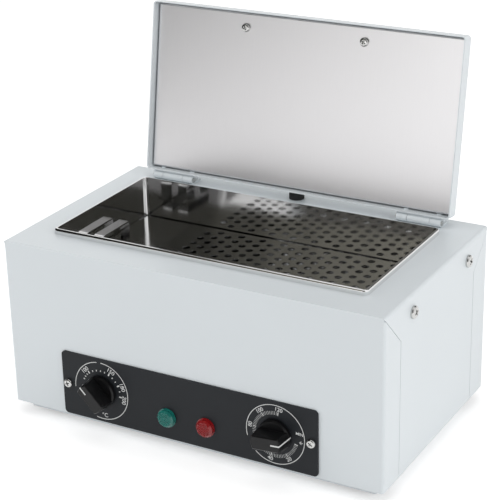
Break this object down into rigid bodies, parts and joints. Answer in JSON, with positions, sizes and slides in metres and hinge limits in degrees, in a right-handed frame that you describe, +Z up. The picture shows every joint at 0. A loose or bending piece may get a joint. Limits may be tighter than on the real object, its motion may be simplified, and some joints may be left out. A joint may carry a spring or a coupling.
{
  "type": "dry heat sterilizer",
  "caption": "Bench-top dry heat sterilizer: white box cabinet with a steel tank, lift-out perforated tray, hinged insulated lid, and a front plate with temperature and timer knobs and lamps.",
  "frame": {"origin": "centre of the bounding box in x and y, bottom of the feet in z, lid open", "axes": "+X to the right seen from the front, +Y to the back, +Z up; the control plate faces -Y"},
  "size_m": [0.351, 0.266, 0.3162],
  "materials": {
    "white_coat": "smooth white powder coat, semi gloss",
    "mirror_steel": "mirror-polished stainless steel",
    "bright_steel": "bright satin stainless steel",
    "plated_steel": "bright zinc plating",
    "base_coat": "white powder coat, underside",
    "black_plate": "satin black lacquer with white print",
    "black_knob": "moulded black plastic",
    "black_rubber": "moulded black rubber",
    "green_lens": "translucent green plastic, faceted",
    "red_lens": "translucent red plastic, faceted",
    "control_housing": "moulded phenolic plastic",
    "gland_plastic": "moulded black nylon",
    "copper_bulb": "drawn copper tube",
    "sheath_steel": "heat-toned steel sheath",
    "fibre": "mineral fibre blanket",
    "steatite": "unglazed white ceramic"
  },
  "bodies": {
    "cabinet": {"casing_shell": "white_coat", "front_panel": "white_coat", "back_panel": "white_coat", "base_plate": "base_coat", "foot_front_left": "black_rubber", "foot_front_right": "black_rubber", "foot_back_left": "black_rubber", "foot_back_right": "black_rubber", "foot_screws": "plated_steel", "foot_nuts": "plated_steel", "base_screws": "plated_steel", "tank": "mirror_steel", "tank_bracket_left": "plated_steel", "tank_bracket_right": "plated_steel", "side_screws": "plated_steel", "side_nuts": "plated_steel", "tray_rail_left": "bright_steel", "tray_rail_right": "bright_steel", "perforated_tray": "bright_steel", "tray_handle_left": "bright_steel", "tray_handle_right": "bright_steel", "control_plate": "black_plate", "control_plate_screws": "plated_steel", "control_plate_nuts": "plated_steel", "thermostat_body": "control_housing", "thermostat_nut": "plated_steel", "thermostat_bulb": "copper_bulb", "timer_body": "control_housing", "timer_nut": "plated_steel", "green_lamp_lens": "green_lens", "green_lamp_body": "control_housing", "red_lamp_lens": "red_lens", "red_lamp_body": "control_housing", "lamp_nuts": "plated_steel", "heating_element": "sheath_steel", "thermal_cutout": "plated_steel", "insulation": "fibre", "terminal_block": "steatite", "cord_gland": "gland_plastic", "gland_nut": "gland_plastic", "hinge_left_case_leaf": "white_coat", "hinge_right_case_leaf": "white_coat", "hinge_left_pin": "plated_steel", "hinge_right_pin": "plated_steel", "case_rivets": "white_coat", "lid_bumper": "black_rubber"},
    "lid": {"lid_shell": "white_coat", "lid_liner": "bright_steel", "lid_insulation": "fibre", "lid_handle": "black_knob", "lid_screws": "plated_steel", "hinge_left_lid_leaf": "white_coat", "hinge_right_lid_leaf": "white_coat", "lid_rivets": "white_coat"},
    "thermostat_dial": {"thermostat_knob": "black_knob", "thermostat_spindle": "plated_steel"},
    "timer_dial": {"timer_knob": "black_knob", "timer_spindle": "plated_steel"}
  },
  "joints": [
    {"name": "lid_hinge", "type": "hinge", "parent": "cabinet", "child": "lid", "pos_m": [0, 0.07003, 0.1622], "axis": [1, 0, 0], "range_deg": [0, 99.2]},
    {"name": "thermostat_turn", "type": "hinge", "parent": "cabinet", "child": "thermostat_dial", "pos_m": [-0.082, 0, 0.0409], "axis": [0, 1, 0], "range_deg": [0, 146]},
    {"name": "timer_turn", "type": "hinge", "parent": "cabinet", "child": "timer_dial", "pos_m": [0.0806, 0, 0.0409], "axis": [0, 1, 0], "range_deg": [0, 283]}
  ]
}
